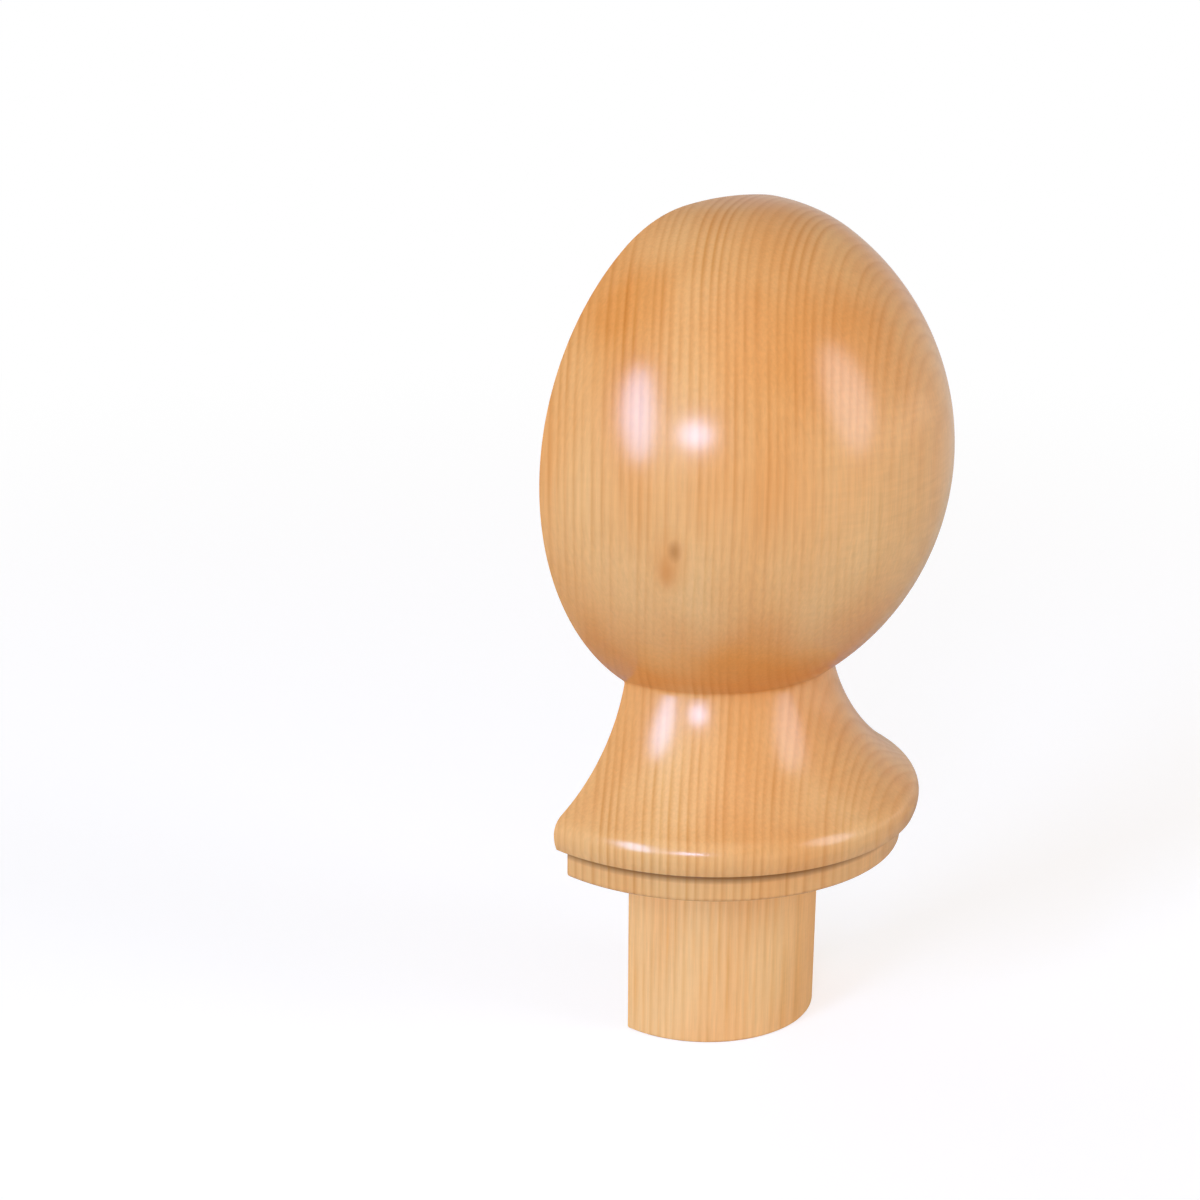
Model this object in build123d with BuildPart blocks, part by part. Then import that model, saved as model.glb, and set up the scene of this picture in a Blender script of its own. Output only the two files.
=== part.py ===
from build123d import *

import os
from math import atan2, cos, degrees, hypot, radians, sin, sqrt

# Half newel post cap. A ball on a moulded collar, with a round spigot under it, is turned between
# centres as one piece of pine. It is then sawn in two along its axis, so that each half caps a
# half newel that stands against a wall.
#
# Millimetres, +Z up. The shoulder that sits on the newel is at Z = 0, and the sawn back is the
# plane Y = 0, with all the wood on its -Y side. The saw takes the middle of the turning away, so
# the turning axis stands just behind the back, at Y = saw_loss.

# ---- Driving dimensions -------------------------------------------------------------------------

# Whole cap
cap_height = 102.0  # shoulder to crown
saw_loss = 1.0  # wood lost from each half along the axis

# Spigot, with a slight draft so that it enters its socket
spigot_length = 30.0
spigot_radius = 18.2
spigot_end_radius = 18.0
spigot_chamfer = 0.6

# Lip, the plain band that sits on the newel
lip_radius = 31.1
lip_height = 5.0
lip_chamfer = 0.4  # its lower edge

# Bead: two arcs that meet at its widest point, so that it stands proud of the lip
bead_radius = 33.9
bead_height = 7.8  # of the widest point
bead_lower_arc = 6.0
bead_upper_arc = 3.5

# Cove, the hollow that draws in from the bead to the neck
cove_arc = 29.5
neck_radius = 19.5

# Ball, from its crown downwards: a flat crown, a tighter shoulder and a long side
crown_arc = 70.0
crown_span = 6.6  # degrees
ball_shoulder_arc = 25.4
ball_shoulder_span = 31.1  # degrees
ball_side_arc = 41.85

# ---- Outline geometry ---------------------------------------------------------------------------
# In the outline's plane X is the distance from the turning axis and Y is the height.


def circles_meet(centre_a, radius_a, centre_b, radius_b):
    """The point where two circles cross, on the right of the way from centre a to centre b."""
    apart = hypot(centre_b[0] - centre_a[0], centre_b[1] - centre_a[1])
    along = (radius_a**2 - radius_b**2 + apart**2) / (2 * apart)
    across = sqrt(radius_a**2 - along**2)
    way = ((centre_b[0] - centre_a[0]) / apart, (centre_b[1] - centre_a[1]) / apart)
    return (
        centre_a[0] + along * way[0] + across * way[1],
        centre_a[1] + along * way[1] - across * way[0],
    )


def beyond(centre, angle, distance):
    """The point at a distance from a centre, in a direction given in degrees above +X."""
    return (centre[0] + distance * cos(radians(angle)), centre[1] + distance * sin(radians(angle)))


def heading(centre, point):
    """The direction of a point seen from a centre, in degrees above +X."""
    return degrees(atan2(point[1] - centre[1], point[0] - centre[0]))


# The ball's arcs are tangent, so each centre lies on the line from the last one to their joint
crown_end = 90 - crown_span
shoulder_end = crown_end - ball_shoulder_span
crown_centre = (0, cap_height - crown_arc)
shoulder_centre = beyond(crown_centre, crown_end, crown_arc - ball_shoulder_arc)
side_centre = beyond(shoulder_centre, shoulder_end, ball_shoulder_arc - ball_side_arc)
ball_radius = side_centre[0] + ball_side_arc

# The neck is where the ball's underside has come in to the neck's radius
neck_drop = sqrt(ball_side_arc**2 - (neck_radius - side_centre[0]) ** 2)
neck = (neck_radius, side_centre[1] - neck_drop)

# The bead's lower arc ends on top of the lip
bead_lower_centre = (bead_radius - bead_lower_arc, bead_height)
bead_upper_centre = (bead_radius - bead_upper_arc, bead_height)
bead_drop = bead_height - lip_height
bead_foot = (bead_lower_centre[0] + sqrt(bead_lower_arc**2 - bead_drop**2), lip_height)

# The cove touches the bead's upper arc and passes through the neck
cove_centre = circles_meet(bead_upper_centre, bead_upper_arc + cove_arc, neck, cove_arc)
bead_end = heading(bead_upper_centre, cove_centre)

# ---- The cap ------------------------------------------------------------------------------------

turning_axis = Axis((0, saw_loss, 0), (0, 0, 1))

with BuildPart() as newel_cap:
    with BuildSketch(Plane.XZ.offset(-saw_loss)) as half_section:
        with BuildLine() as outline:
            # Spigot and shoulder
            Polyline(
                (0, -spigot_length),
                (spigot_end_radius, -spigot_length),
                (spigot_radius, 0),
                (lip_radius, 0),
                (lip_radius, lip_height),
                bead_foot,
            )
            # Bead, from its foot to where the cove touches it
            foot_angle = heading(bead_lower_centre, bead_foot)
            CenterArc(bead_lower_centre, bead_lower_arc, foot_angle, -foot_angle)
            CenterArc(bead_upper_centre, bead_upper_arc, 0, bead_end)
            # Cove, up to the neck
            cove_start = heading(cove_centre, bead_upper_centre)
            cove_end = heading(cove_centre, neck)
            CenterArc(cove_centre, cove_arc, cove_start, (cove_end - cove_start) % 360 - 360)
            # Ball, from the neck over its side and shoulder to the crown
            neck_angle = heading(side_centre, neck)
            CenterArc(side_centre, ball_side_arc, neck_angle, shoulder_end - neck_angle)
            CenterArc(shoulder_centre, ball_shoulder_arc, shoulder_end, ball_shoulder_span)
            CenterArc(crown_centre, crown_arc, crown_end, crown_span)
            # Back down the turning axis
            Line((0, cap_height), (0, -spigot_length))
        make_face()
    revolve(axis=turning_axis)

    # Edges that the turner breaks: the spigot's end and the underside of the lip
    chamfer(newel_cap.edges().group_by(Axis.Z)[0], spigot_chamfer)
    shoulder_edges = newel_cap.faces().filter_by(Plane.XY).sort_by(Axis.Z)[1].edges()
    chamfer(shoulder_edges.sort_by(Edge.length)[-1], lip_chamfer)

    # Sawn in two down its length, behind the turning axis
    split(bisect_by=Plane.XZ, keep=Keep.TOP)

newel_cap.part.label = "newel_cap"

os.makedirs("parts", exist_ok=True)
export_step(newel_cap.part, "parts/newel_cap.step")

print(f"ball radius {ball_radius:.2f} at height {side_centre[1]:.2f}")
print(f"neck radius {neck[0]:.2f} at height {neck[1]:.2f}")
print(f"volume {newel_cap.part.volume / 1000:.1f} cubic centimetres")
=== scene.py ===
# %% [markdown]
# # A half newel post cap in turned pine
#
# The real cap closes the top of a stair's newel post. It is turned between centres as one piece of
# pine, lacquered, and then sawn in two down its length, so that each half fits a half newel that
# stands against a wall. The CAD model gives its place and its sizes. This script gives it the
# small rounded edges, the growth rings, the lacquer and the bare sawn wood.

from math import atan2, cos, hypot, pi, radians, sin, sqrt

import bmesh
import bpy
from mathutils import Matrix, Vector


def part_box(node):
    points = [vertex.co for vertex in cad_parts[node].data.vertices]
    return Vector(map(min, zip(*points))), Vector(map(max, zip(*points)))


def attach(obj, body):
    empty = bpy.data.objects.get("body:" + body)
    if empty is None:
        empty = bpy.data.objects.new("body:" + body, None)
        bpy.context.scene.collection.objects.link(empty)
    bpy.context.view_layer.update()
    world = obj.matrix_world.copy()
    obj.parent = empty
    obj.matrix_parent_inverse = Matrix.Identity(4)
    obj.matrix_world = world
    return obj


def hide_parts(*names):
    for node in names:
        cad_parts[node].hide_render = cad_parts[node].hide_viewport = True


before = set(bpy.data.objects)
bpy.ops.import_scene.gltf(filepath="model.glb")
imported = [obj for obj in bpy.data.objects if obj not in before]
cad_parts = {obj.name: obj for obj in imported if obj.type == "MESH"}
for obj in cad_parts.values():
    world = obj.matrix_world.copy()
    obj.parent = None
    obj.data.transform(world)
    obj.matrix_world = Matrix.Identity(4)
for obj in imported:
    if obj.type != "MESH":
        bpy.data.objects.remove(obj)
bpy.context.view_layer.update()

# %% [markdown]
# ## The driving sizes
#
# The frame gives the height of the crown, the end of the spigot and the sawn back. The other sizes
# are those of the turned outline, which a turner would mark on a story stick: each form's radius
# from the turning axis and its height above the shoulder that sits on the newel.

# %% Sizes
MM = 0.001

low_corner, high_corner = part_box("newel_cap")
crown_height = high_corner[2]
spigot_end = low_corner[2]
sawn_back = high_corner[1]
axis_behind_back = 1.0 * MM  # the saw took the axis itself away
axis_y = sawn_back + axis_behind_back

spigot_radius = 18.2 * MM
spigot_end_radius = 18.0 * MM
lip_radius = 31.1 * MM
lip_height = 5.0 * MM
quirk_depth = 0.7 * MM  # the narrow groove that parts the lip from the bead
quirk_width = 0.8 * MM
quirk_drop = 0.1 * MM  # how far its upper side slopes down from the bead's foot
bead_radius = 33.9 * MM
bead_height = 7.8 * MM
bead_lower_arc = 6.0 * MM
bead_upper_arc = 3.5 * MM
cove_arc = 29.5 * MM
neck_radius = 19.5 * MM
crown_arc = 70.0 * MM
crown_span = radians(6.6)
ball_shoulder_arc = 25.4 * MM
ball_shoulder_span = radians(31.1)
ball_side_arc = 41.85 * MM

print(f"cap {(crown_height - spigot_end) / MM:.1f} mm high")
print(f"sawn back at y = {sawn_back / MM:.2f} mm, turning axis at y = {axis_y / MM:.2f} mm")

# %% [markdown]
# ## Where the arcs meet
#
# A turned outline is a chain of arcs. Where two of them run smoothly into each other, their
# centres and the point between them lie on one line, so each centre is found from the last one.


# %% Arc centres
def beyond(centre, angle, distance):
    """The point at a distance from a centre, in a direction given in radians above +X."""
    return (centre[0] + distance * cos(angle), centre[1] + distance * sin(angle))


def circles_meet(centre_a, radius_a, centre_b, radius_b):
    """Where two circles cross, on the right of the way from centre a to centre b."""
    apart = hypot(centre_b[0] - centre_a[0], centre_b[1] - centre_a[1])
    along = (radius_a**2 - radius_b**2 + apart**2) / (2 * apart)
    across = sqrt(radius_a**2 - along**2)
    way = ((centre_b[0] - centre_a[0]) / apart, (centre_b[1] - centre_a[1]) / apart)
    return (
        centre_a[0] + along * way[0] + across * way[1],
        centre_a[1] + along * way[1] - across * way[0],
    )


crown_centre = (0.0, crown_height - crown_arc)
shoulder_centre = beyond(crown_centre, pi / 2 - crown_span, crown_arc - ball_shoulder_arc)
side_start = pi / 2 - crown_span - ball_shoulder_span
side_centre = beyond(shoulder_centre, side_start, ball_shoulder_arc - ball_side_arc)
neck_drop = sqrt(ball_side_arc**2 - (neck_radius - side_centre[0]) ** 2)
neck = (neck_radius, side_centre[1] - neck_drop)
bead_lower_centre = (bead_radius - bead_lower_arc, bead_height)
bead_upper_centre = (bead_radius - bead_upper_arc, bead_height)
bead_drop = bead_height - lip_height
bead_foot = (bead_lower_centre[0] + sqrt(bead_lower_arc**2 - bead_drop**2), lip_height)
cove_centre = circles_meet(bead_upper_centre, bead_upper_arc + cove_arc, neck, cove_arc)
ball_radius = side_centre[0] + ball_side_arc

print(f"ball {2 * ball_radius / MM:.1f} mm across, neck at {neck[1] / MM:.1f} mm")

# %% [markdown]
# ## Drawing the outline
#
# The outline is drawn as one wire in the plane of the turning axis, from the crown down to the end
# of the spigot. It starts as a single point: a small plane is added and merged to its centre. A
# straight run is one extrude of the last point. An arc is a spin of the last point about the
# arc's own centre, which is how a compass would draw it.


# %% Helpers for the wire
def edit_mesh():
    """The mesh being edited, as a bmesh whose selection can be read and set."""
    bm = bmesh.from_edit_mesh(bpy.context.object.data)
    bm.verts.ensure_lookup_table()
    return bm


def show_selection():
    """Passes a selection made on the bmesh on to the operators."""
    bm = edit_mesh()
    bm.select_flush_mode()
    bmesh.update_edit_mesh(bpy.context.object.data)


def line_to(point):
    """Extrudes the selected end of the wire in a straight run to a point of the outline."""
    end = next(v for v in edit_mesh().verts if v.select)
    step = Vector((point[0], axis_y, point[1])) - end.co
    bpy.ops.mesh.extrude_region_move(TRANSFORM_OT_translate={"value": step})


def arc_about(centre, angle, step_length=0.8 * MM):
    """Spins the selected end of the wire about a centre. A positive angle runs clockwise."""
    fewest_steps = 6
    end = next(v for v in edit_mesh().verts if v.select)
    radius = hypot(end.co.x - centre[0], end.co.z - centre[1])
    steps = max(fewest_steps, round(radius * abs(angle) / step_length))
    bpy.ops.mesh.spin(
        steps=steps, angle=angle, center=(centre[0], axis_y, centre[1]), axis=(0, -1, 0)
    )


def turn_between(centre, start, end):
    """The clockwise angle at a centre from one point to another, between -180 and 180 degrees."""
    before = atan2(start[1] - centre[1], start[0] - centre[0])
    after = atan2(end[1] - centre[1], end[0] - centre[0])
    return (before - after + pi) % (2 * pi) - pi


# %% Draw the outline
bpy.ops.object.select_all(action="DESELECT")
bpy.ops.mesh.primitive_plane_add(size=MM, location=(0, 0, 0))
cap = bpy.context.object
cap.name = "turned_pine_cap"
cap.data.name = "turned_pine_cap"
bpy.ops.object.mode_set(mode="EDIT")
bpy.context.tool_settings.mesh_select_mode = (True, False, False)
bpy.ops.mesh.merge(type="CENTER")
bpy.ops.mesh.select_all(action="SELECT")
bpy.ops.transform.translate(value=(0, axis_y, crown_height))

side_top = beyond(side_centre, side_start, ball_side_arc)
to_cove = atan2(cove_centre[1] - bead_upper_centre[1], cove_centre[0] - bead_upper_centre[0])
cove_end = beyond(bead_upper_centre, to_cove, bead_upper_arc)
bead_widest = (bead_radius, bead_height)
bead_step = 0.35 * MM  # finer, because the bead's arcs are tight
arc_about(crown_centre, crown_span)
arc_about(shoulder_centre, ball_shoulder_span)
arc_about(side_centre, turn_between(side_centre, side_top, neck))
arc_about(cove_centre, turn_between(cove_centre, neck, cove_end))
arc_about(bead_upper_centre, turn_between(bead_upper_centre, cove_end, bead_widest), bead_step)
arc_about(bead_lower_centre, turn_between(bead_lower_centre, bead_widest, bead_foot), bead_step)
quirk = (lip_radius - quirk_depth, lip_height - quirk_drop)
lip_top = (lip_radius, lip_height - quirk_width)
lip_edge = (lip_radius, 0.0)
spigot_root = (spigot_radius, 0.0)
spigot_rim = (spigot_end_radius, spigot_end)
for corner in (quirk, lip_top, lip_edge, spigot_root, spigot_rim, (0.0, spigot_end)):
    line_to(corner)
print("outline points", len(edit_mesh().verts))

# %% [markdown]
# ## Breaking the corners
#
# No corner on turned wood is perfectly sharp: the skew chisel leaves a narrow round in a hollow
# corner, and sanding takes the rest. While the outline is still a wire, a vertex bevel rounds each
# corner by its own small amount. That is simpler than an edge bevel later on, when each corner has
# become a ring of edges.


# %% Round the outline's corners
lip_top_round = 0.25 * MM
lip_edge_round = 0.9 * MM
rim_round = 0.6 * MM  # round the spigot's end


def round_corner(point, size, segments=4):
    """Rounds the wire's corner at a point. The size is how far from the corner the round starts."""
    bpy.ops.mesh.select_all(action="DESELECT")
    place = Vector((point[0], axis_y, point[1]))
    corner = min(edit_mesh().verts, key=lambda v: (v.co - place).length)
    corner.select = True
    show_selection()
    bpy.ops.mesh.bevel(offset=size, segments=segments, affect="VERTICES", clamp_overlap=False)


round_corner(neck, 0.35 * MM)
round_corner(bead_foot, 1.0 * MM, 6)
round_corner(lip_top, lip_top_round)
round_corner(lip_edge, lip_edge_round, 6)
round_corner(spigot_root, 0.3 * MM)
round_corner(spigot_rim, rim_round)
print("outline points with rounds", len(edit_mesh().verts))

# %% [markdown]
# ## Turning and sawing
#
# One full spin about the turning axis does the lathe's work. It leaves two rows of points where it
# starts and ends and a bunch of points at each pole, so doubles are merged before the normals are
# turned outwards. The bisect is the saw. It cuts just short of the back, and the sawn face is then
# inset and moved out to its place, which leaves a narrow broken edge all round.

# %% Turn and saw
turning_steps = 240
saw_edge = 0.25 * MM  # the arris that a few strokes of sandpaper take off
same_point = 0.001 * MM  # points closer than this are one

bpy.ops.mesh.select_all(action="SELECT")
bpy.ops.mesh.spin(steps=turning_steps, angle=2 * pi, center=(0, axis_y, 0), axis=(0, 0, 1))
bpy.ops.mesh.select_all(action="SELECT")
bpy.ops.mesh.remove_doubles(threshold=same_point)
bpy.ops.mesh.normals_make_consistent(inside=False)
bpy.ops.mesh.select_all(action="SELECT")
bpy.ops.mesh.bisect(
    plane_co=(0, sawn_back - saw_edge, 0),
    plane_no=(0, 1, 0),
    use_fill=True,
    clear_outer=True,
    threshold=same_point,
)
bpy.context.tool_settings.mesh_select_mode = (False, False, True)
bpy.ops.mesh.select_all(action="DESELECT")
for face in edit_mesh().faces:
    face.select = face.normal.y > 0.999 and face.calc_center_median().y > sawn_back - 2 * saw_edge
show_selection()
bpy.ops.mesh.inset(thickness=saw_edge, depth=0)
bpy.ops.transform.translate(value=(0, saw_edge, 0))
print("sawn faces", sum(face.select for face in edit_mesh().faces))
bpy.ops.object.mode_set(mode="OBJECT")

bpy.ops.object.shade_smooth_by_angle(angle=radians(30))
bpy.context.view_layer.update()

# %% [markdown]
# ## A helper for materials
#
# A material is a chain of nodes. One function adds a node, sets its values and links its inputs,
# so that a chain reads from top to bottom. Another turns a hex colour, as a paint chart would give
# it, into the linear numbers that Blender works in.


# %% Material helpers
def linear(hex_colour):
    """An sRGB hex colour as linear red, green, blue and alpha."""
    channels = [int(hex_colour[i : i + 2], 16) / 255 for i in (1, 3, 5)]
    return [c / 12.92 if c <= 0.04045 else ((c + 0.055) / 1.055) ** 2.4 for c in channels] + [1.0]


def add_node(tree, kind, settings=None, **inputs):
    """Adds a node with its settings. An input is a value, or a node or socket to link from.

    i0, i1 and so on name an input by its number, and an underscore stands for a space.
    """
    node = tree.nodes.new("ShaderNode" + kind)
    for name, value in (settings or {}).items():
        setattr(node, name, value)
    for name, value in inputs.items():
        key = int(name[1:]) if name[0] == "i" and name[1:].isdigit() else name.replace("_", " ")
        if isinstance(value, bpy.types.Node):
            value = value.outputs[0]
        if isinstance(value, bpy.types.NodeSocket):
            tree.links.new(value, node.inputs[key])
        else:
            node.inputs[key].default_value = value
    return node


def empty_tree(owner):
    """The node tree of a new material or world, with its first nodes cleared away."""
    owner.use_nodes = True
    owner.node_tree.nodes.clear()
    return owner.node_tree


def new_material(name):
    """A material with only a Principled shader and its output, and the tree to build in."""
    material = bpy.data.materials.new(name)
    tree = empty_tree(material)
    shader = add_node(tree, "BsdfPrincipled")
    add_node(tree, "OutputMaterial", Surface=shader)
    return material, tree, shader


# %% [markdown]
# ## The blank and its pith
#
# Pine grows in rings about the tree's pith, and this blank was cut with the pith well to one side.
# The pattern has to be solid: it is worked out at every point of the wood from its place, so that
# any cut through it, round or flat, shows the right figure. Object coordinates do that, because
# they move with the piece and know nothing of its surface. They are turned with the blank, so that
# right and front are the blank's own sides, and scaled to millimetres, which makes every size below
# a real one. All the finishes of the cap share this one piece of wood.

# %% Places in the blank
grain_turn = radians(42)  # how far the blank is turned about its length
pith_right = 85.0  # millimetres from the turning axis to the pith, to the blank's right
pith_front = 33.0  # and to its front


def blank_places(tree):
    """Each point's place in the blank, its distance from the pith, and its place along a ring."""
    place = add_node(tree, "TexCoord").outputs["Object"]
    blank = add_node(
        tree, "Mapping", Vector=place, Rotation=(0, 0, grain_turn), Scale=(1 / MM, 1 / MM, 1 / MM)
    )
    from_pith = add_node(
        tree, "Mapping", Vector=blank, Location=(-pith_right, pith_front, 0), Scale=(1, 1, 0)
    )
    distance = add_node(
        tree, "VectorMath", {"operation": "LENGTH"}, i0=from_pith
    ).outputs["Value"]
    axes = add_node(tree, "SeparateXYZ", Vector=blank).outputs
    along_ring = add_node(tree, "CombineXYZ", X=distance, Z=axes["Z"])
    return {
        "mm": blank,
        "right": axes["X"],
        "up": axes["Z"],
        "distance": distance,
        "along_ring": along_ring,
    }


print(f"pith {hypot(pith_right, pith_front):.0f} mm from the turning axis")

# %% [markdown]
# ## Growth rings
#
# Each year pine grows a pale, soft layer in spring and a thin, dark, hard one in late summer, and
# the pair is one growth ring. Where the surface crosses the rings it shows straight lines, and
# where it runs along them it shows wide curls. The distance from the pith, counted in ring widths,
# gives the year, and its fraction is how late in the year the wood grew. Noise shifts the distance
# a little, since years differ. It depends on the distance and the height alone, so it is the same
# all round a ring, and the rings stay rings. A second, much broader noise bends them a little, as
# no trunk is quite round and straight.

# %% Growth rings
ring_width = 1.35  # millimetres from one ring to the next
uneven_years = 2.2  # millimetres that a ring may be shifted in or out
bent_trunk = 1.2  # millimetres that it may bend


def streaks(tree, place, across, along, detail=2.0, roughness=0.5):
    """Noise whose features are some millimetres across and some millimetres along the trunk."""
    drawn_out = add_node(
        tree, "Mapping", Vector=place, Scale=(1 / across, 1 / across, 1 / along)
    )
    return add_node(
        tree, "TexNoise", Vector=drawn_out, Scale=1.0, Detail=detail, Roughness=roughness
    )


def ring_lateness(tree, wood):
    """How late in its year each point of the wood grew, from 0 to 1."""
    years = streaks(tree, wood["along_ring"], across=6, along=150)
    bends = streaks(tree, wood["mm"], across=26, along=50, detail=1.0, roughness=0.4)
    distance = wood["distance"]
    for unevenness, reach in ((years, uneven_years), (bends, bent_trunk)):
        distance = add_node(
            tree, "Math", {"operation": "MULTIPLY_ADD"}, i0=unevenness, i1=reach, i2=distance
        )
    rings = add_node(tree, "Math", {"operation": "DIVIDE"}, i0=distance, i1=ring_width)
    return add_node(tree, "Math", {"operation": "FRACT"}, i0=rings)


print(f"{2 * ball_radius / MM / ring_width:.0f} rings across the ball")

# %% [markdown]
# ## Strong and faint rings
#
# Some rings are strong and others faint, and each comes and goes along the trunk. The lathe tool
# burnished the ball's underside, which hides the rings there, and they are also quieter on the
# side where the surface runs along them.

# %% Strength of the rings
burnished_height = 42.0  # the ball's underside, in millimetres up
burnished_share = 0.3  # the share of the rings' strength that is left there


def ring_strength(tree, wood):
    """How strong the ring is at each point."""
    comes_and_goes = streaks(tree, wood["along_ring"], across=2.6, along=18)
    strength = add_node(
        tree, "MapRange", Value=comes_and_goes, From_Min=0.34, From_Max=0.64, To_Min=0.2
    )
    above = add_node(
        tree,
        "MapRange",
        Value=wood["up"],
        From_Min=burnished_height,
        From_Max=burnished_height + 38,
        To_Min=burnished_share,
    )
    below = add_node(
        tree,
        "MapRange",
        Value=wood["up"],
        From_Min=burnished_height - 6,
        From_Max=burnished_height - 13,
        To_Min=burnished_share,
        To_Max=0.95,
    )
    shown = add_node(tree, "Math", {"operation": "MAXIMUM"}, i0=above, i1=below)
    quiet_side = add_node(
        tree, "MapRange", Value=wood["right"], From_Min=2, From_Max=30, To_Min=0.7, To_Max=0.36
    )
    for share in (shown, quiet_side):
        strength = add_node(tree, "Math", {"operation": "MULTIPLY"}, i0=strength, i1=share)
    return strength


# %% [markdown]
# ## Red clouds and fibres
#
# Resin colours pine unevenly. Slow clouds of red run through the blank, and one redder band of
# years runs down its front. The side that faced the pith is a little paler. Over all this lie the
# fibres. Real ones are a few hundredths of a millimetre wide, and these are drawn ten times as
# coarse so that they show.

# %% Redness, and the whole pattern
red_band = 4.0  # millimetres to the right of the turning axis


def redness(tree, wood):
    """How red the wood is at each point."""
    red = streaks(tree, wood["mm"], across=12, along=36, detail=1.0)
    pithward = add_node(
        tree, "MapRange", Value=wood["right"], From_Min=-30, From_Max=32, To_Min=0.24, To_Max=-0.1
    )
    from_band = add_node(tree, "Math", {"operation": "SUBTRACT"}, i0=wood["right"], i1=red_band)
    from_band = add_node(tree, "Math", {"operation": "ABSOLUTE"}, i0=from_band)
    band = add_node(
        tree, "MapRange", Value=from_band, From_Min=1, From_Max=11, To_Min=0.16, To_Max=0.0
    )
    for part in (pithward, band):
        red = add_node(tree, "Math", {"operation": "ADD"}, i0=red, i1=part)
    return red


def pine_pattern(tree):
    """The blank's places, with how late each is in its year, its ring, its fibres and its red."""
    wood = blank_places(tree)
    wood["late"] = ring_lateness(tree, wood)
    wood["strength"] = ring_strength(tree, wood)
    wood["fibre"] = streaks(tree, wood["mm"], across=0.4, along=8, detail=3.0, roughness=0.6)
    wood["red"] = redness(tree, wood)
    return wood


# %% [markdown]
# ## The marks of turning
#
# The skew chisel and then the sandpaper ran round the work, across the fibres. They leave faint
# short scratches along circles about the turning axis, which show best at the right, where the
# tool cut along the rings and tore them a little. So this noise is drawn out in the angle about
# the axis. Real scratches are a few hundredths of a millimetre wide, and these are drawn 0.8 mm
# wide so that they show.

# %% Turning marks
marks_round = 6.0  # this many marks in a radian
mark_height = 0.8 * MM


def turning_marks(tree, pattern):
    """Noise that is drawn out round the turning axis, from 0 to 1, with its middle at 0.5."""
    place = add_node(tree, "TexCoord").outputs["Object"]
    from_axis = add_node(tree, "VectorMath", {"operation": "SUBTRACT"}, i0=place, i1=(0, axis_y, 0))
    axes = add_node(tree, "SeparateXYZ", Vector=from_axis).outputs
    angle = add_node(tree, "Math", {"operation": "ARCTAN2"}, i0=axes["Y"], i1=axes["X"])
    round_and_up = add_node(tree, "CombineXYZ", X=angle, Z=axes["Z"])
    drawn_out = add_node(
        tree, "Mapping", Vector=round_and_up, Scale=(marks_round, 1, 1 / mark_height)
    )
    marks = add_node(tree, "TexNoise", Vector=drawn_out, Scale=1.0, Detail=2.0, Roughness=0.6)
    mark = add_node(tree, "Math", {"operation": "SUBTRACT"}, i0=marks, i1=0.5)
    torn = add_node(
        tree, "MapRange", Value=pattern["right"], From_Min=8, From_Max=26, To_Min=0.3
    )
    return add_node(tree, "Math", {"operation": "MULTIPLY_ADD"}, i0=mark, i1=torn, i2=0.5)


# %% [markdown]
# ## Colouring the wood
#
# Spring wood is the ground, and it reddens slowly in clouds. The summer wood lies over it as a
# stain would, by multiplying: it rises softly through the year and ends sharply. The fibres and
# the tool's marks then make both a little lighter and darker.

# %% Wood colours
summer_starts, summer_full, summer_ends = 0.2, 0.72, 0.96  # shares of the year
red_starts, red_full = 0.32, 1.22  # the redness where the clouds begin and are full
noise_low, noise_high = 0.3, 0.7  # nearly all of a noise lies between these


def wood_colour(tree, pattern, spring, red, summer, tones):
    """The wood's colour, from the colours of its spring wood and of its red clouds.

    The summer colour darkens both, as a stain would. Each tone is a pattern with its contrast.
    """
    ring = add_node(tree, "ValToRGB", Fac=pattern["late"])
    stops = ring.color_ramp.elements
    stops[0].position, stops[0].color = summer_starts, (0, 0, 0, 1)
    stops[1].position, stops[1].color = summer_full, (1, 1, 1, 1)
    stops.new(summer_ends).color = (0, 0, 0, 1)
    ring_amount = add_node(
        tree, "Math", {"operation": "MULTIPLY"}, i0=ring, i1=pattern["strength"]
    )
    cloud = add_node(
        tree, "MapRange", Value=pattern["red"], From_Min=red_starts, From_Max=red_full
    )
    colour = linear(spring)
    for amount, over, way in ((cloud, red, "MIX"), (ring_amount, summer, "MULTIPLY")):
        colour = add_node(
            tree,
            "Mix",
            {"data_type": "RGBA", "blend_type": way},
            i0=amount,
            i6=colour,
            i7=linear(over),
        ).outputs[2]
    for marks, contrast in tones:
        tone = add_node(
            tree,
            "MapRange",
            Value=marks,
            From_Min=noise_low,
            From_Max=noise_high,
            To_Min=1 - contrast,
            To_Max=1 + contrast,
        )
        colour = add_node(tree, "VectorMath", {"operation": "SCALE"}, Vector=colour, Scale=tone)
    return colour.outputs[0]


# %% [markdown]
# ## A pin knot
#
# A twig a few millimetres thick ended on the ball's left. It shows as a small brown fleck, with
# resin that has stained the wood round and below it. Each is an ellipsoid in the wood, where
# another colour is mixed in, so it needs no image and would also show on a cut.

# %% Knot
knot_parts = (  # azimuth in degrees, height, half width and half height in millimetres, colour
    (-54.4, 54.6, 3.6, 6.5, "#E2944A"),  # the resin's halo
    (-55.2, 53.0, 1.5, 3.4, "#D98A42"),  # its streak
    (-53.2, 56.6, 1.2, 2.1, "#B06C2E"),  # the knot's heart above them
)
knot_strength = 0.6


def on_ball(azimuth, height):
    """The place on the ball's side at an azimuth from the front and a height."""
    rise = height - side_centre[1]
    radius = side_centre[0] + sqrt(ball_side_arc**2 - rise**2)
    return (radius * sin(azimuth), axis_y - radius * cos(azimuth), height)


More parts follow.
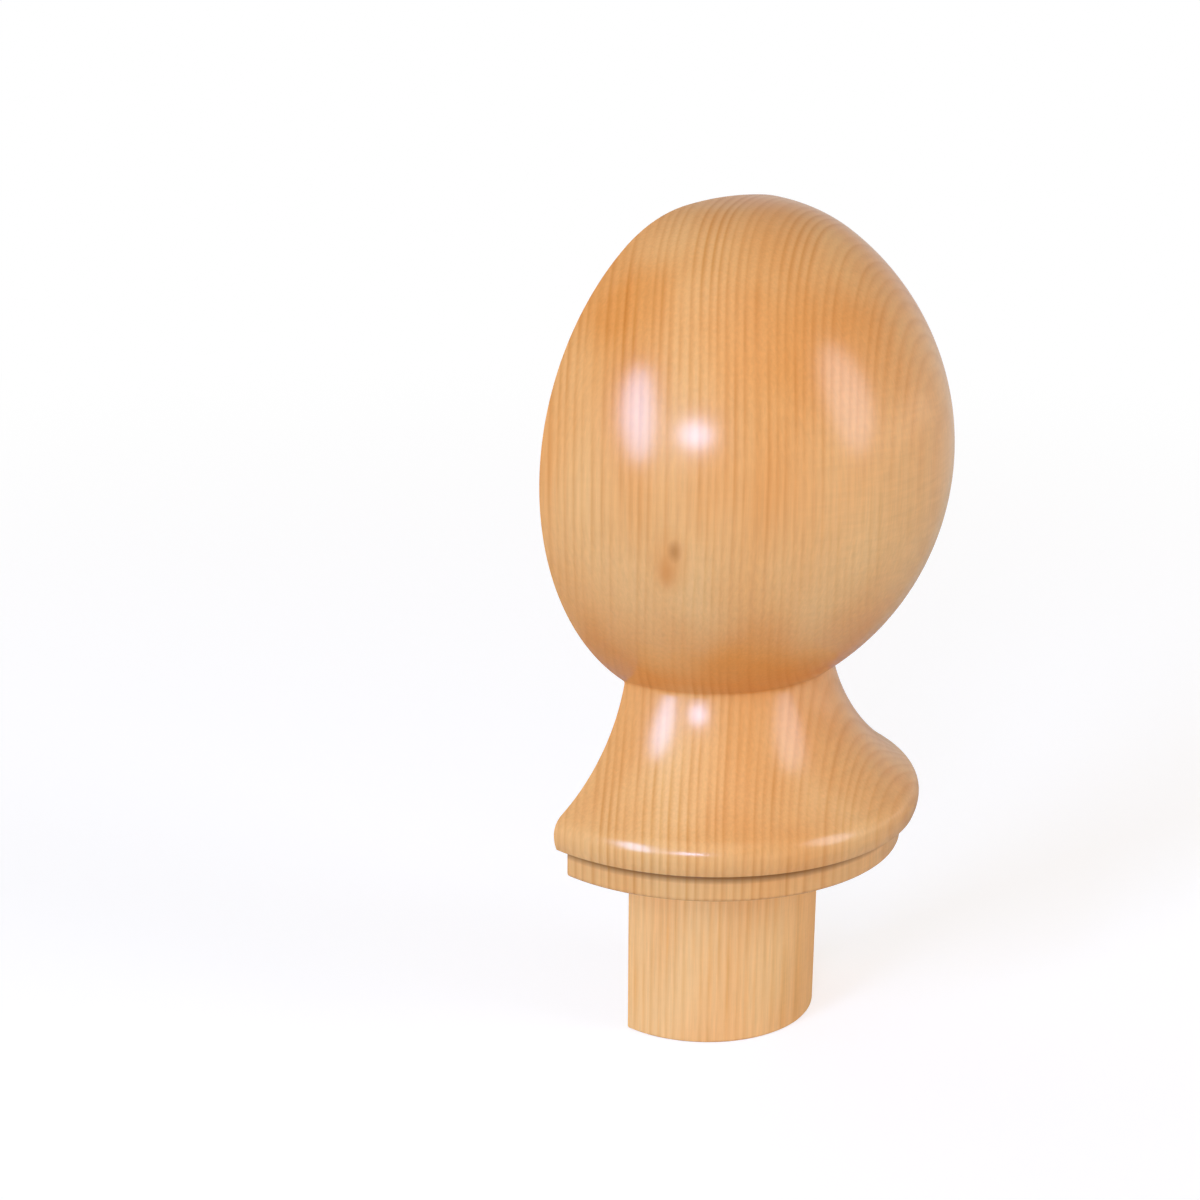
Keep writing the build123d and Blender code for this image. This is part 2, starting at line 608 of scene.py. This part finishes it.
def stain(tree, colour, middle, half_width, half_height, stain_colour, strength):
    """Mixes a colour into the wood round a place, fading out over an ellipsoid."""
    place = add_node(tree, "TexCoord").outputs["Object"]
    offset = add_node(tree, "VectorMath", {"operation": "SUBTRACT"}, i0=place, i1=middle)
    reach = (half_width, half_width, half_height)
    scaled = add_node(tree, "VectorMath", {"operation": "DIVIDE"}, i0=offset, i1=reach)
    length = add_node(tree, "VectorMath", {"operation": "LENGTH"}, i0=scaled).outputs["Value"]
    amount = add_node(
        tree, "MapRange", Value=length, From_Min=0.2, From_Max=1.0, To_Min=strength, To_Max=0.0
    )
    return add_node(
        tree, "Mix", {"data_type": "RGBA"}, i0=amount, i6=colour, i7=linear(stain_colour)
    ).outputs[2]


def knot(tree, colour):
    """The wood's colour with the resin's halo and streak and the knot's heart mixed in."""
    for azimuth, height, half_width, half_height, stain_colour in knot_parts:
        middle = on_ball(radians(azimuth), height * MM)
        colour = stain(
            tree, colour, middle, half_width * MM, half_height * MM, stain_colour, knot_strength
        )
    return colour


print("knot in", len(knot_parts), "parts")

# %% [markdown]
# ## Painted shade by height and in the groove
#
# The wood is painted redder and darker by height, as shade: most just above the neck, under the
# ball, and much on the ball's top, and hardly at all on the ball's lower side. A colour ramp over
# the height gives the amount. The narrow groove under the bead is painted darker too, as the
# shade that falls under the bead.

# %% Painted shade by height and in the groove
shade_ramp_span = 100.0  # millimetres of height that the ramp spans
shade_by_height_stops = (  # height in millimetres, and how much painted shade reddens the wood
    (14, 0.08),  # the cove
    (28, 0.24),
    (32, 0.6),  # just above the neck, in the painted shade under the ball
    (39, 0.3),
    (47, 0.04),
    (54, 0.0),  # the ball's lower side
    (65, 0.2),
    (88, 0.46),  # the ball's top, painted darker as shade
    (96, 0.28),
)
# the groove's painted shade under the bead: its strength and its colour
groove_shade_amount = 0.8
groove_shade_colour = "#8F5C2C"


def painted_shade_by_height(tree, pattern):
    """Painted shade by height, which reddens the wood most just above the neck and on the top."""
    share = add_node(tree, "MapRange", Value=pattern["up"], From_Min=0, From_Max=shade_ramp_span)
    # depth here is how much painted shade reddens the wood at each height
    depth = add_node(tree, "ValToRGB", Fac=share)
    stops = depth.color_ramp.elements
    stops[0].position, stops[0].color = 0.0, (0.1, 0.1, 0.1, 1)
    stops[1].position, stops[1].color = 1.0, (0.2, 0.2, 0.2, 1)
    for height, level in shade_by_height_stops:
        stops.new(height / shade_ramp_span).color = (level, level, level, 1)
    return depth


def painted_shade_in_groove(tree):
    """How much painted shade the groove gets: full in the groove, fading out on three sides."""
    place = add_node(tree, "TexCoord").outputs["Object"]
    from_axis = add_node(
        tree, "VectorMath", {"operation": "SUBTRACT"}, i0=place, i1=(0, axis_y, lip_height)
    )
    level = add_node(tree, "VectorMath", {"operation": "MULTIPLY"}, i0=from_axis, i1=(1, 1, 0))
    radius = add_node(tree, "VectorMath", {"operation": "LENGTH"}, i0=level).outputs["Value"]
    above_lip = add_node(tree, "SeparateXYZ", Vector=from_axis).outputs["Z"]
    amount = groove_shade_amount
    for value, full, none in (
        (radius, lip_radius + 1.2 * MM, lip_radius + 1.7 * MM),  # out towards the bead's foot
        (above_lip, 0.1 * MM, 0.5 * MM),  # up to the foot
        (above_lip, -1.0 * MM, -2.0 * MM),  # and down over the lip's top edge
    ):
        share = add_node(
            tree, "MapRange", Value=value, From_Min=full, From_Max=none, To_Min=1.0, To_Max=0.0
        )
        amount = add_node(tree, "Math", {"operation": "MULTIPLY"}, i0=amount, i1=share)
    return amount


# %% [markdown]
# ## Lacquered pine
#
# The ball, the cove, the bead and the lip are turned pine under a clear lacquer, sprayed on and
# rubbed down. Under it the pine turns a warm honey colour. The lacquer is the coat of the
# Principled shader, smooth enough for highlights with soft edges, over wood whose own surface is
# dull. The groove's faces are the same material with hardly any coat, so they hardly shine. Both
# carry the painted shade by height and the painted shade in the groove.


# %% Lacquered pine
def lacquered_pine(name, coat):
    """Turned pine under lacquer, with painted shade. A coat of 1 is the full lacquer."""
    material, tree, shader = new_material(name)
    pattern = pine_pattern(tree)
    # the painted shade by height is added to the redness, which reddens and darkens the wood there
    pattern["red"] = add_node(
        tree, "Math", {"operation": "ADD"}, i0=pattern["red"], i1=painted_shade_by_height(tree, pattern)
    )
    tones = ((pattern["fibre"], 0.05), (turning_marks(tree, pattern), 0.042))
    colour = wood_colour(tree, pattern, "#F0BE7D", "#E69648", "#E2C384", tones)
    # the groove under the bead is painted darker, as the shade under the bead's overhang
    colour = add_node(
        tree,
        "Mix",
        {"data_type": "RGBA"},
        i0=painted_shade_in_groove(tree),
        i6=knot(tree, colour),
        i7=linear(groove_shade_colour),
    ).outputs[2]
    tree.links.new(colour, shader.inputs["Base Color"])
    bump = add_node(tree, "Bump", Height=pattern["fibre"], Strength=0.05, Distance=0.02 * MM)
    tree.links.new(bump.outputs[0], shader.inputs["Normal"])
    shader.inputs["Roughness"].default_value = 0.5
    shader.inputs["IOR"].default_value = 1.5
    shader.inputs["Specular IOR Level"].default_value = 0.0  # no air between wood and lacquer
    shader.inputs["Coat Weight"].default_value = coat
    shader.inputs["Coat Roughness"].default_value = 0.22
    shader.inputs["Coat IOR"].default_value = 1.5
    print(name, "with", len(tree.nodes), "nodes")
    return material


lacquered_wood = lacquered_pine("lacquered_pine", coat=1.0)
# the groove's faces: hardly any coat, and the groove's painted shade is full there
painted_shade_groove_wood = lacquered_pine("groove_lacquered_pine_painted_shade", coat=0.1)

# %% [markdown]
# ## Bare pine
#
# The spigot goes into the newel and is glued there, so it is left without lacquer, as it came off
# the lathe, and so is the shoulder round it. Bare turned pine is paler and quite matt. It is the
# same solid pattern in paler colours, without a coat and with a stronger bump for the fibres.


# %% Bare pine
def bare_pine():
    """Turned pine without lacquer."""
    material, tree, shader = new_material("bare_turned_pine")
    pattern = pine_pattern(tree)
    tones = ((pattern["fibre"], 0.06), (turning_marks(tree, pattern), 0.03))
    colour = wood_colour(tree, pattern, "#FBC884", "#F4A252", "#F0D8A6", tones)
    tree.links.new(colour, shader.inputs["Base Color"])
    bump = add_node(tree, "Bump", Height=pattern["fibre"], Strength=0.2, Distance=0.05 * MM)
    tree.links.new(bump.outputs[0], shader.inputs["Normal"])
    shader.inputs["Roughness"].default_value = 0.7
    shader.inputs["IOR"].default_value = 1.5
    print(material.name, "with", len(tree.nodes), "nodes")
    return material


bare_wood = bare_pine()

# %% [markdown]
# ## Band-sawn pine
#
# The back came off a band saw after the lacquer was dry, so it is bare. The blade leaves faint
# ridges straight across the cut and lifts a little fuzz, which makes the face matt and a shade
# paler than turned wood. A sine of the height draws the ridges, as tone and as bump.

# %% Band-sawn pine
saw_mark_spacing = 1.6  # millimetres
saw_wander = 5.0  # millimetres that the ridges drift where the wood is harder


def sawn_pine():
    """Pine as the band saw left it, with a ridge for each small jerk of the feed."""
    material, tree, shader = new_material("band_sawn_pine")
    pattern = pine_pattern(tree)
    wander = add_node(
        tree,
        "Math",
        {"operation": "MULTIPLY_ADD"},
        i0=pattern["red"],
        i1=saw_wander,
        i2=pattern["up"],
    )
    phase = add_node(
        tree, "Math", {"operation": "MULTIPLY"}, i0=wander, i1=2 * pi / saw_mark_spacing
    )
    ridge = add_node(tree, "Math", {"operation": "SINE"}, i0=phase)
    fuzz = add_node(
        tree,
        "MapRange",
        Value=ridge,
        From_Min=-1,
        From_Max=1,
        To_Min=noise_low,
        To_Max=noise_high,
    )
    tones = ((pattern["fibre"], 0.09), (fuzz, 0.015))
    colour = wood_colour(tree, pattern, "#F2CC9C", "#ECB981", "#E8D6B0", tones)
    tree.links.new(colour, shader.inputs["Base Color"])
    rough = add_node(
        tree, "Math", {"operation": "MULTIPLY_ADD"}, i0=ridge, i1=0.4, i2=pattern["fibre"]
    )
    bump = add_node(tree, "Bump", Height=rough, Strength=0.4, Distance=0.08 * MM)
    tree.links.new(bump.outputs[0], shader.inputs["Normal"])
    shader.inputs["Roughness"].default_value = 0.8
    shader.inputs["IOR"].default_value = 1.5
    print(material.name, "with", len(tree.nodes), "nodes")
    return material


sawn_wood = sawn_pine()

# %% [markdown]
# ## Which face gets which finish
#
# The faces are told apart by their place: the sawn back and its broken edge are the only faces
# near the back that look that way, and all that is below the lip, or under it, is bare. The groove
# under the bead and the small round on the lip's top edge have the lacquer with hardly any coat,
# and the painted shade in the groove is full there.

# %% Give the faces their finish
for material in (lacquered_wood, bare_wood, sawn_wood, painted_shade_groove_wood):
    cap.data.materials.append(material)
lacquered, bare, sawn, painted_shade_groove = range(4)

finish_count = [0, 0, 0, 0]
for face in cap.data.polygons:
    middle = face.center
    radius = hypot(middle.x, middle.y - axis_y)
    below_lip_top = lip_height - middle.z
    finish = lacquered
    if face.normal.y > 0.5 and middle.y > sawn_back - 0.9 * saw_edge:
        finish = sawn
    elif middle.z < same_point and radius < lip_radius - lip_edge_round:
        finish = bare
    # the groove and the lip's top round, where the painted shade is full
    elif radius < lip_radius and 0 < below_lip_top < quirk_width + lip_top_round:
        finish = painted_shade_groove
    face.material_index = finish
    finish_count[finish] += 1
print("faces lacquered, bare, sawn and dusty", finish_count)

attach(cap, "root")
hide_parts("newel_cap")

# %% [markdown]
# ## The floor
#
# The cap stands on its spigot on a sheet of matt white acrylic, as on a light table. Near the cap
# it is a surface that takes the cap's shadow, and a little light of its own keeps that shadow
# faint. Further out it fades into the same plain white as the world, so no horizon shows. What the
# lacquer mirrors of it is dimmer, or the edges of the ball would turn white. It is clear from
# below and under the flat of the spigot's end, so that the underside can be looked at.

# %% Floor material
fade_start, fade_end = 0.10, 0.50  # metres from the cap
sheet_glow = 0.65  # the sheet's own light, to the camera
mirrored_share = 0.65  # how bright the far white is in the lacquer


def kinds_of_light(tree):
    """Two switches: one is 1 for what the camera sees, the other for what the lacquer mirrors."""
    rays = add_node(tree, "LightPath").outputs
    by_camera = add_node(
        tree,
        "Math",
        {"operation": "MAXIMUM"},
        i0=rays["Is Camera Ray"],
        i1=rays["Is Transmission Ray"],
    )
    return by_camera, rays["Is Glossy Ray"]


def clear_part(tree, place, distance):
    """1 where the floor is clear: seen from below, and under the flat of the spigot's end."""
    from_below = add_node(tree, "NewGeometry").outputs["Backfacing"]
    flat_radius = spigot_end_radius - rim_round
    within = add_node(tree, "Math", {"operation": "LESS_THAN"}, i0=distance, i1=flat_radius)
    forward = add_node(tree, "SeparateXYZ", Vector=place).outputs["Y"]
    in_front = add_node(
        tree, "Math", {"operation": "LESS_THAN"}, i0=forward, i1=sawn_back - saw_edge
    )
    under_spigot = add_node(tree, "Math", {"operation": "MULTIPLY"}, i0=within, i1=in_front)
    return add_node(tree, "Math", {"operation": "MAXIMUM"}, i0=from_below, i1=under_spigot)


def white_acrylic():
    """Matt white near the cap, plain white further out."""
    material = bpy.data.materials.new("matt_white_acrylic")
    tree = empty_tree(material)
    by_camera, mirrored = kinds_of_light(tree)
    place = add_node(tree, "TexCoord").outputs["Object"]
    from_axis = add_node(tree, "VectorMath", {"operation": "SUBTRACT"}, i0=place, i1=(0, axis_y, 0))
    distance = add_node(tree, "VectorMath", {"operation": "LENGTH"}, i0=from_axis).outputs["Value"]

    # Near the cap: a matt sheet that is a little darker to the camera, and its own light
    sheet = add_node(
        tree,
        "Mix",
        {"data_type": "RGBA"},
        i0=by_camera,
        i6=linear("#CBC7C2"),
        i7=linear("#B8B6B4"),
    ).outputs[2]
    matt = add_node(tree, "BsdfDiffuse", Color=sheet)
    lift = add_node(tree, "Math", {"operation": "MULTIPLY"}, i0=by_camera, i1=sheet_glow)
    glow = add_node(tree, "Emission", Color=linear("#FFFFFF"), Strength=lift)
    near = add_node(tree, "AddShader", i0=matt, i1=glow)

    # Further out: plain white, for the camera and for the lacquer's reflections alone
    brightness = add_node(
        tree,
        "MapRange",
        Value=by_camera,
        From_Min=0,
        From_Max=1,
        To_Min=mirrored_share,
        To_Max=1.0,
    )
    white = add_node(tree, "Emission", Color=linear("#FFFFFF"), Strength=brightness)
    fade = add_node(
        tree,
        "MapRange",
        {"interpolation_type": "SMOOTHSTEP"},
        Value=distance,
        From_Min=fade_start,
        From_Max=fade_end,
    )
    seen = add_node(tree, "Math", {"operation": "MAXIMUM"}, i0=by_camera, i1=mirrored)
    white_share = add_node(tree, "Math", {"operation": "MULTIPLY"}, i0=fade, i1=seen)
    surface = add_node(tree, "MixShader", i0=white_share, i1=near, i2=white)

    clear = add_node(tree, "BsdfTransparent")
    open_part = clear_part(tree, place, distance)
    surface = add_node(tree, "MixShader", i0=open_part, i1=surface, i2=clear)
    add_node(tree, "OutputMaterial", Surface=surface)
    return material


# %% Floor
floor_radius = 6.0

bpy.ops.object.select_all(action="DESELECT")
bpy.ops.mesh.primitive_circle_add(
    vertices=96, radius=floor_radius, fill_type="NGON", location=(0, 0, spigot_end)
)
floor = bpy.context.object
floor.name = "studio_floor"
floor.data.materials.append(white_acrylic())
print("floor at", round(spigot_end / MM, 1), "mm")

# %% [markdown]
# ## The room
#
# The camera sees the background as plain white. What the lacquer mirrors is a room that is dimmer
# and darkest overhead, so that the top of the ball isn't washed out. What lights the cap is dimmer
# still, apart from a bright wall behind it, which lights the sawn back. A direction's Z says how
# steeply it points up, and its Y how far it points behind the cap.


# %% World
def studio_room():
    """The world: white to the camera, a dim room to the lacquer and to the light."""
    world = bpy.data.worlds.new("studio")
    tree = empty_tree(world)
    by_camera, mirrored = kinds_of_light(tree)
    direction = add_node(tree, "TexCoord").outputs["Generated"]
    axes = add_node(tree, "SeparateXYZ", Vector=direction).outputs
    room_light = add_node(
        tree, "MapRange", Value=axes["Z"], From_Min=0.1, From_Max=0.8, To_Min=0.5, To_Max=0.16
    )
    wall_behind = add_node(
        tree, "MapRange", Value=axes["Y"], From_Min=0.4, From_Max=1.0, To_Min=0.0, To_Max=1.1
    )
    room_light = add_node(tree, "Math", {"operation": "ADD"}, i0=room_light, i1=wall_behind)
    mirrored_light = add_node(
        tree, "MapRange", Value=axes["Z"], From_Min=0.1, From_Max=0.5, To_Min=0.65, To_Max=0.3
    )
    room = add_node(tree, "Background", Color=linear("#FFF4E6"), Strength=room_light)
    mirrored_room = add_node(tree, "Background", Color=linear("#FFFFFF"), Strength=mirrored_light)
    white = add_node(tree, "Background", Color=linear("#FFFFFF"), Strength=1.0)
    sky = add_node(tree, "MixShader", i0=mirrored, i1=room, i2=mirrored_room)
    sky = add_node(tree, "MixShader", i0=by_camera, i1=sky, i2=white)
    add_node(tree, "OutputWorld", Surface=sky)
    return world


bpy.context.scene.world = studio_room()
print("world", bpy.context.scene.world.name)

# %% [markdown]
# ## The lamps
#
# Lacquer shows each lamp as a highlight, so a lamp's direction, size and shape are its highlight's.
# A tall narrow window stands at the cap's left, a small lamp is nearer the camera, and a wide soft
# lamp is at the right. Three large dim fills open the shadows. One is high up on the left. The
# other two lie low at either side. They shine partly up through the floor, as the lamps of a light
# table do, and light the undersides of the ball and the bead.


# %% Lamps
def lamp(name, azimuth, elevation, distance, width, height, brightness, colour, roll=0.0):
    """An oval area lamp that looks at the ball, with its angles in degrees and sizes in metres.

    Azimuth runs from the front to the right. Brightness is how bright the lamp's face looks.
    """
    light = bpy.data.lights.new(name, "AREA")
    light.shape = "ELLIPSE"
    light.size = width
    light.size_y = height
    light.energy = brightness * pi * (pi / 4) * width * height  # for an oval's area
    light.color = linear(colour)[:3]
    lamp_object = bpy.data.objects.new(name, light)
    bpy.context.scene.collection.objects.link(lamp_object)
    turn = Matrix.Rotation(radians(azimuth), 4, "Z")
    turn = turn @ Matrix.Rotation(pi / 2 - radians(elevation), 4, "X")
    turn = turn @ Matrix.Rotation(radians(roll), 4, "Z")
    ball_middle = Vector((0, axis_y, side_centre[1]))
    lamp_object.matrix_world = (
        Matrix.Translation(ball_middle) @ turn @ Matrix.Translation((0, 0, distance))
    )
    print(name, f"{light.energy:.1f} W")


lamp("window", -83, 20, 1.5, width=0.40, height=0.98, brightness=17.5, colour="#ACCEFF", roll=17)
lamp("small_lamp", -53.6, 14.8, 1.5, width=0.40, height=0.25, brightness=32.0, colour="#B4CCFF")
lamp("soft_lamp", 26.3, 20, 1.5, width=0.64, height=1.05, brightness=4.6, colour="#E8EEFF")
lamp("left_fill", -75, -6, 2.5, width=2.0, height=1.2, brightness=0.3, colour="#FFE2C4")
lamp("upper_fill", -50, 54, 2.5, width=2.6, height=2.6, brightness=0.75, colour="#FFE6CC")
lamp("right_fill", 58, -6, 2.5, width=2.4, height=1.2, brightness=1.0, colour="#FFE6CC")

# %% [markdown]
# ## The camera
#
# A long lens from a little above shows the cap as one would see it when choosing it: the sawn edge
# on the left and the turned outline on the right.

# %% Camera
camera_azimuth = radians(42.259)  # from the front towards the left
camera_elevation = radians(17.505)
camera_roll = radians(0.471)
camera_distance = 421.91 * MM
aim = Vector((-13.698, 11.905, 38.385)) * MM  # the point at the middle of the view

camera_data = bpy.data.cameras.new("camera")
camera_data.sensor_width = 36.0  # the sensor and the lens are in millimetres
camera_data.lens = 80.543
camera_data.clip_start = 0.01
camera = bpy.data.objects.new("camera", camera_data)
bpy.context.scene.collection.objects.link(camera)
turn = Matrix.Rotation(-camera_azimuth, 4, "Z")
turn = turn @ Matrix.Rotation(pi / 2 - camera_elevation, 4, "X")
turn = turn @ Matrix.Rotation(camera_roll, 4, "Z")
camera.matrix_world = (
    Matrix.Translation(aim) @ turn @ Matrix.Translation((0, 0, camera_distance))
)
bpy.context.scene.camera = camera
bpy.context.scene.view_settings.view_transform = "Standard"
print("camera", round(camera_distance / MM), "mm from its aim")
